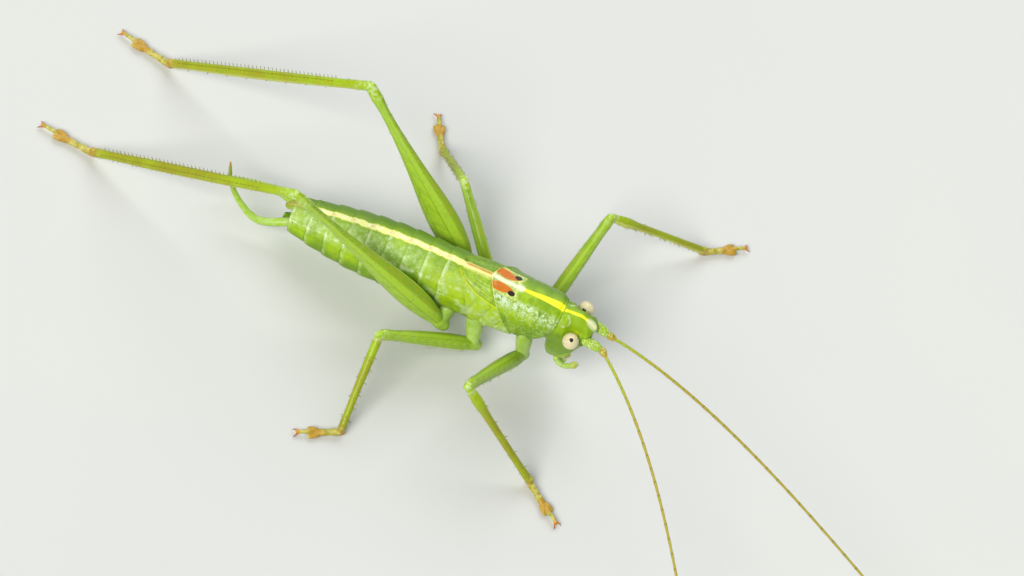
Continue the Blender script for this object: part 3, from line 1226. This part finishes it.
def cercus_material():
    shade = Shade("cercus_olive")
    way = shade.place()[0]
    mottle = shade.noise(6.0)
    base = shade.blend(
        "lime",
        (mottle.rise(0.3, 0.7), "mint"),
        (way.rise(0.55, 0.8) * 0.6, "olive"),
        (way.rise(0.86, 0.97) * 0.8, "rust"),
    )
    return shade.waxy("cercus_olive", base, 0.36 + 0.1 * mottle, mottle)


class CRICKET_OT_cerci(bpy.types.Operator):
    """Make the two thin curved tail feelers"""

    bl_idname = "cricket.cerci"
    bl_label = "Tail feelers"

    def execute(self, context):
        material = cercus_material()
        for word, knots in CERCUS.items():
            route = curve(knots, 16)
            share = np.linspace(0, 1, len(route))
            radii = 0.05 + 0.13 * (1 - share) ** 0.8 - 0.02 * bell(share, 1.0, 0.05)
            points, faces = tube(to_world(route), radii, deep=CERCUS_DEEP @ AXES, sides=24)
            add_piece(f"tail_feeler_{word}", (points, faces), places_along([(points, faces)], [0.0]),
                      material, (f"cercus_{word}",))
        return {"FINISHED"}


# ---- Legs -----------------------------------------------------------------------------------

def leg_joints(name):
    """A leg's root, hip, knee and ankle, its foot's direction and length, and where its bend rises."""
    word, kind = name.split("_")
    root, hip, femur, tibia, tarsus = LEGS[kind]
    ahead, aside, lean, heading = FEET[name]
    root, hip = to_world(mirrored(root, SIDES[word])), to_world(mirrored(hip, SIDES[word]))
    ankle = np.array((ZERO[0] + aside, ZERO[1] - ahead, ANKLE_HEIGHT))
    reach, along, up, aslant = limb_axes(hip, ankle, UPRIGHT)
    share = (femur**2 + reach**2 - tibia**2) / (2 * femur * reach)
    out = up * math.cos(math.radians(lean)) + aslant * math.sin(math.radians(lean))
    knee = hip + along * (femur * share) + out * (femur * math.sqrt(1 - share**2))
    upward = unit(np.cross(np.cross(knee - hip, ankle - hip), ankle - hip))
    if upward @ out < 0:
        upward = -upward
    onward = np.array((math.sin(math.radians(heading)), -math.cos(math.radians(heading)), 0.0))
    return root, hip, knee, ankle, onward, tarsus, upward


def limb_axes(start, end, upward):
    """A limb's length, and the directions along it, up out of it and across it."""
    length = np.linalg.norm(end - start)
    along = (end - start) / length
    deep = unit(upward - along * (upward @ along))
    return length, along, deep, np.cross(along, deep)


def limb(start, end, shape, upward, bow=0.0, steps=40):
    """A limb of oval section whose middle bows along its deep side."""
    deep = limb_axes(start, end, upward)[2]
    shares = np.linspace(0, 1, steps)
    widths, depths = np.array([read(shape, share) for share in shares]).T
    points = start + np.outer(shares, end - start) + np.outer(bow * np.sin(math.pi * shares), deep)
    return tube(points, widths, depths, deep, sides=28)


def foot_shells(ankle, onward, tarsus, shin):
    """The shells of a foot: its pieces one after another, two pads as the third, and its heel."""
    sideways = np.array((onward[1], -onward[0], 0.0))
    below = ankle * (1, 1, 0)
    shares = np.linspace(0, 1, 14)
    swell = 0.72 + 0.28 * np.sin(math.pi * np.clip(shares * 1.05, 0, 1)) ** 0.7
    shells = []
    for start, end, half_width, half_height, height in TARSUS:
        points = below + np.outer(tarsus * (start + (end - start) * shares), onward)
        points += np.outer(height + 0.03 * np.sin(math.pi * shares), UPRIGHT)
        if half_width > PAD_FROM:
            for turn in (1, -1):
                pad = points + np.outer(0.16 * turn * shares**0.6, sideways)
                shells.append(tube(pad, 0.13 * swell, half_height * swell))
        else:
            shells.append(tube(points, half_width * swell, half_height * swell))
    heel = (ankle + UPRIGHT * 0.14 - shin * 0.05, ankle - UPRIGHT * 0.02,
            below + UPRIGHT * 0.19 + onward * 0.14)
    return shells + [tube(heel, (0.12, 0.13, 0.11), deep=onward + 0.01)]


def leg_shells(name):
    """The closed shells that a leg's skin is fused from."""
    word, kind = name.split("_")
    root, hip, knee, ankle, onward, tarsus, upward = leg_joints(name)
    if kind == "front":
        root = root - np.array((0.0, FRONT_ROOT_SHIFT * SIDES[word], 0.0)) @ AXES
    thigh, shin = unit(knee - hip), unit(ankle - knee)
    across = unit(np.cross(thigh, upward))
    hip_width = FEMUR_SHAPE[kind][0][1]
    collar = hip + np.outer(np.linspace(-0.20, 0.22, 9), thigh)
    shells = [
        limb(root, hip, COXA_SHAPE[kind], upward, steps=16),
        tube(collar, [hip_width * 1.12] * 9, [hip_width * 1.2] * 9, upward, sides=24),
        limb(hip + thigh * 0.10, knee, FEMUR_SHAPE[kind], upward, bow=0.04),
    ]
    for turn in (1, -1):
        knee_lobe = (knee - thigh * 0.34 + across * (0.09 * turn),
                     knee + thigh * 0.02 + across * (0.12 * turn),
                     knee + thigh * 0.13 + across * (0.11 * turn) + shin * 0.04)
        shells.append(tube(knee_lobe, (0.08, 0.07, 0.045), (0.15, 0.13, 0.08), upward))
    shells.append(limb(knee, ankle, TIBIA_SHAPE[kind], upward, bow=TIBIA_BOW[kind]))
    return shells + foot_shells(ankle, onward, tarsus, shin)


def leg_place(points, name):
    """Way along the leg, zero to four in its four lengths, and the height above and place beside its axis.

    On the thigh the height is a share of its own depth, with 0.3 at its edge.
    """
    root, hip, knee, ankle, onward, tarsus, upward = leg_joints(name)
    thigh_shape = FEMUR_SHAPE[name.split("_")[1]]
    joints = (root, hip, knee, ankle, ankle * (1, 1, 0) + UPRIGHT * 0.17 + onward * tarsus)
    best = np.full(len(points), np.inf)
    place = np.zeros((len(points), 3))
    for number, (start, end) in enumerate(zip(joints, joints[1:])):
        length, along, deep, across = limb_axes(start, end, upward)
        offset = points - start
        share = np.clip(offset @ along / length, 0.0, 1.0)
        distance = np.linalg.norm(offset - np.outer(share * length, along), axis=1)
        level = offset @ deep
        if number == 1:
            shares, _, depths = zip(*thigh_shape)
            level *= 0.3 / np.interp(share, shares, depths)
        nearer = distance < best
        best[nearer] = distance[nearer]
        place[nearer] = np.stack((number + share, level, offset @ across), axis=1)[nearer]
    return place


def leg_material():
    """Leg green. The places are the way along the leg, and the height above and place beside its axis."""
    shade = Shade("leg_green")
    way, deep, _ = shade.place()
    cloud = shade.noise(1.0, 3.0, 0.6)
    mottle = shade.noise(6.0, 3.0, 0.6)
    fine = shade.noise(24.0)
    lines = deep.band(-0.15, 0.018) + deep.band(-0.06, 0.014) + deep.band(0.15, 0.016)
    chevrons = (way * 70.0 + abs(deep) * 24.0).sine().rise(0.2, 0.9) * deep.rise(0.19, 0.12)
    ridge = shade.blend("deep_green", (mottle.rise(0.42, 0.62) * 0.35, "amber"))
    pads = way.rise(3.36, 3.46) * way.rise(3.76, 3.68)
    coxa = shade.blend(
        "mint",
        (mottle.rise(0.4, 0.6) * 0.6, "lime"),
        (cloud.rise(0.4, 0.6) * 0.4, "green"),
    )
    femur = shade.blend(
        "green",
        (cloud.rise(0.0, 0.45), "lime"),
        (mottle.rise(0.5, 0.7) * 0.25, "deep_green"),
        (0.16, "mint"),
        (deep.rise(0.268, 0.298) * 0.45, ridge),
        (deep.rise(-0.20, -0.28) * 0.4, "pale_yellow"),
        (lines * 0.55, "deep_green"),
        (chevrons * deep.rise(-0.19, -0.12) * 0.16, "deep_green"),
        (way.rise(1.4, 1.9) * mottle.rise(0.42, 0.6) * 0.35, "mint"),
        (shade.cells(7.5, "F1").rise(0.09, 0.05) * 0.7, "chalk"),
        (shade.cells(4.3, "F1").rise(0.10, 0.05) * 0.6, "deep_green"),
    )
    knee = shade.blend(
        "lime",
        (mottle.rise(0.45, 0.60) * 0.6, "chalk"),
        (mottle.rise(0.42, 0.34) * 0.5, "amber"),
    )
    tibia = shade.blend(
        "lime",
        (way.rise(2.0, 2.5) * 0.55 + cloud.rise(0.35, 0.65) * 0.4, "olive"),
        (mottle.rise(0.52, 0.68) * 0.25, "amber"),
        (deep.rise(0.0, -0.12) * 0.35, "pale_yellow"),
        (way.rise(2.09, 2.04) * 0.45, knee),
    )
    foot = shade.blend(
        "olive",
        (mottle.rise(0.3, 0.7) * 0.5, "pale_yellow"),
        (pads * (0.35 + 0.45 * mottle), tint("amber", "olive", 0.35)),
        (fine.rise(0.5, 0.65) * 0.5, "amber"),
        (way.rise(3.86, 4.0) * 0.5, "amber"),
        (way.band(3.0, 0.05) * 0.5, "rust"),
    )
    base = shade.blend(
        coxa,
        (way.rise(0.97, 1.04), femur),
        (way.rise(1.90, 1.97) * way.rise(2.05, 2.02) * 0.55, knee),
        (way.rise(2.0, 2.05), tibia),
        (way.rise(2.92, 3.02), foot),
    )
    height = fine * 0.5 + shade.cells(16.0).rise(0.0, 0.14) * 0.3
    return shade.waxy("leg_green", base, 0.28 + 0.2 * mottle, height)


class CRICKET_OT_legs(bpy.types.Operator):
    """Make the six legs, each as one fused skin from its root to its foot"""

    bl_idname = "cricket.legs"
    bl_label = "Legs"

    def execute(self, context):
        material = leg_material()
        for name in FEET:
            points, _, faces = fused(leg_shells(name), size("leg_grain"), 2)
            points[:, 2] = np.maximum(points[:, 2], 0.0)
            add_piece(f"leg_{name}", (points, faces), leg_place(points, name), material,
                      [f"{part}_{name}" for part in ("coxa", "femur", "tibia", "tarsus")])
        return {"FINISHED"}


# ---- Claws, spines and hairs ----------------------------------------------------------------

def cone(start, end, radius, sides=7, bow=0.0):
    """A thin closed spine. Bow is how far, and which way, its middle bends."""
    shares = np.array((0.0, 0.25, 0.5, 0.75, 0.93))
    points = start + np.outer(shares, end - start) + np.outer(np.sin(math.pi * shares), bow)
    return tube(points, radius * (1 - shares**1.3 * 0.9), deep=SPINE_DEEP, sides=sides, dome=1)


def claws(ankle, onward, tarsus):
    """The two hooked claws at the end of a foot."""
    sideways = np.array((onward[1], -onward[0], 0.0))
    toe = ankle * (1, 1, 0) + UPRIGHT * 0.15 + onward * (tarsus * 0.97)
    shells = []
    for turn in (1, -1):
        tip = toe + onward * (size("claw_length") * 0.75) + sideways * (0.16 * turn) - UPRIGHT * 0.13
        bow = (onward * 0.2 + UPRIGHT * 0.8 + sideways * (0.5 * turn)) * 0.06
        shells.append(cone(toe + sideways * (0.03 * turn), tip, CLAW_RADIUS, 9, bow))
    return shells


def shin_spines(knee, ankle, upward, kind):
    """The spines of a shin, in pairs of rows."""
    length, along, deep, across = limb_axes(knee, ankle, upward)
    shells = []
    for facing, count in SPINE_ROWS[kind]:
        for share in 0.16 + 0.78 * (np.arange(count) + 0.5) / count:
            half = read(TIBIA_SHAPE[kind], share)[1]
            for turn in (1, -1):
                root = knee + along * length * share + half * (deep * 0.68 * facing + across * 0.62 * turn)
                out = unit(deep * facing + across * (0.9 * turn) + along * 0.6)
                reach = size("spine_length") * (0.8 + 0.3 * share)
                shells.append(cone(root, root + out * reach, SPINE_RADIUS))
    return shells


def hairs(start, end, shape, upward, count, chance):
    """Fine hairs all round a limb, leaning towards its far end."""
    length, along, deep, across = limb_axes(start, end, upward)
    shells = []
    for share, turn in zip(chance.uniform(0.05, 0.97, count), chance.uniform(0, 2 * math.pi, count)):
        half_width, half_depth = read(shape, share) * 0.96
        aside, up = across * math.cos(turn), deep * math.sin(turn)
        root = start + along * (length * share) + aside * half_width + up * half_depth
        tip = root + unit(aside + up + along * 0.8) * (size("hair_length") * chance.uniform(0.6, 1.0))
        shells.append(cone(root, tip, HAIR_RADIUS, 4))
    return shells


def spine_material():
    """Amber with dark tips. The places are the way along a spine, zero, and 1 on claws."""
    shade = Shade("spine_amber")
    way, _, on_claw = shade.place()
    mottle = shade.noise(8.0)
    base = shade.blend(
        "olive",
        (on_claw.rise(0.4, 0.6), "amber"),
        (way.rise(0.25, 0.8) * (0.7 + 0.3 * mottle), "dark"),
    )
    return shade.waxy("spine_amber", base, 0.3 + 0.1 * mottle, mottle)


class CRICKET_OT_spines(bpy.types.Operator):
    """Make the claws, the spines of the shins and the fine hairs on each leg"""

    bl_idname = "cricket.spines"
    bl_label = "Claws, spines and hairs"

    def execute(self, context):
        material = spine_material()
        for order, name in enumerate(FEET):
            chance = np.random.default_rng(FIRST_SEED + order)
            kind = name.split("_")[1]
            _, hip, knee, ankle, onward, tarsus, upward = leg_joints(name)
            shells = claws(ankle, onward, tarsus)
            marks = [1.0] * len(shells)
            shells += shin_spines(knee, ankle, upward, kind)
            shells += hairs(hip, knee, FEMUR_SHAPE[kind], upward, FEMUR_HAIRS, chance)
            shells += hairs(knee, ankle, TIBIA_SHAPE[kind], upward, TIBIA_HAIRS, chance)
            marks += [0.0] * (len(shells) - len(marks))
            points, faces = joined(shells)
            points[:, 2] = np.maximum(points[:, 2], 0.0)
            add_piece(f"spines_{name}", (points, faces), places_along(shells, marks), material)
        return {"FINISHED"}


# ---- Stage ----------------------------------------------------------------------------------

def floor_material():
    shade = Shade("floor_pale")
    haze = shade.noise(0.03, 3.0)
    base = shade.blend("floor", (haze.rise(0.3, 0.7) * 0.08, "chalk"))
    shader = shade.node("ShaderNodeBsdfPrincipled", None,
                        {"Base Color": base, "Roughness": 0.75 + 0.1 * haze})
    shade.node("ShaderNodeOutputMaterial", None, {0: shader.outputs[0]})
    return shade.material


def add_light(name, towards, spread, strength, hue):
    """A wide, even soft light from a direction in the world."""
    data = bpy.data.lights.new(name, "SUN")
    data.angle = math.radians(spread)
    data.energy = strength
    data.color = hue
    thing = bpy.data.objects.new(name, data)
    thing.rotation_euler = Vector(towards).to_track_quat("Z", "Y").to_euler()
    bpy.context.scene.collection.objects.link(thing)


class CRICKET_OT_stage(bpy.types.Operator):
    """Make the pale floor, the soft lights and the camera"""

    bl_idname = "cricket.stage"
    bl_label = "Stage"

    def execute(self, context):
        scene = context.scene
        corners = [(x * FLOOR_HALF, y * FLOOR_HALF, 0) for x, y in ((-1, -1), (1, -1), (1, 1), (-1, 1))]
        mesh = new_mesh("floor", corners, [(0, 1, 2, 3)])
        mesh.materials.append(floor_material())
        floor = bpy.data.objects.new("floor", mesh)
        scene.collection.objects.link(floor)
        lights = scene.cricket_lights
        add_light("key", np.array(KEY_FROM) @ AXES, KEY_SPREAD, lights.key, KEY_HUE)
        add_light("fill", FILL_FROM, FILL_SPREAD, lights.fill, FILL_HUE)
        scene.world = bpy.data.worlds.new("room")
        scene.world.use_nodes = True
        air = scene.world.node_tree.nodes["Background"].inputs
        air["Color"].default_value = (*ROOM_HUE, 1.0)
        air["Strength"].default_value = lights.sky
        scene.view_settings.view_transform = "Standard"
        data = bpy.data.cameras.new("camera")
        data.lens = LENS
        data.sensor_width = SENSOR
        data.clip_start = 0.001
        camera = bpy.data.objects.new("camera", data)
        turn = Matrix((np.array((VIEW_RIGHT, VIEW_UP, VIEW_FROM)) @ AXES).T.tolist()).to_4x4()
        where = to_world(np.array(AIM) + VIEW_DISTANCE * np.array(VIEW_FROM)) * MM
        camera.matrix_world = Matrix.Translation(where.tolist()) @ turn
        scene.collection.objects.link(camera)
        scene.camera = camera
        return {"FINISHED"}


# ---- Panel ----------------------------------------------------------------------------------

STEPS = (CRICKET_OT_body, CRICKET_OT_shield, CRICKET_OT_flaps, CRICKET_OT_eyes, CRICKET_OT_feelers,
         CRICKET_OT_palps, CRICKET_OT_cerci, CRICKET_OT_legs, CRICKET_OT_spines, CRICKET_OT_stage)
SETTINGS = {
    "cricket_sizes": CricketSizes,
    "cricket_colours": CricketColours,
    "cricket_lights": CricketLights,
}


class CRICKET_PT_panel(bpy.types.Panel):
    """Lists the cricket's pieces, sizes, colours and lights"""

    bl_idname = "CRICKET_PT_panel"
    bl_label = "Oak bush-cricket"
    bl_space_type = "VIEW_3D"
    bl_region_type = "UI"
    bl_category = "Cricket"

    def draw(self, context):
        column = self.layout.column()
        for step in STEPS:
            column.operator(step.bl_idname)
        for key, group in SETTINGS.items():
            box = self.layout.box()
            for prop in group.__annotations__:
                box.prop(getattr(context.scene, key), prop)


CLASSES = (*SETTINGS.values(), *STEPS, CRICKET_PT_panel)


def register():
    for cls in CLASSES:
        bpy.utils.register_class(cls)
    for key, group in SETTINGS.items():
        setattr(bpy.types.Scene, key, bpy.props.PointerProperty(type=group))


def unregister():
    for key in SETTINGS:
        delattr(bpy.types.Scene, key)
    for cls in reversed(CLASSES):
        bpy.utils.unregister_class(cls)


def main():
    register()
    for step in STEPS:
        group, operation = step.bl_idname.split(".")
        getattr(getattr(bpy.ops, group), operation)()


if __name__ == "__main__":
    main()
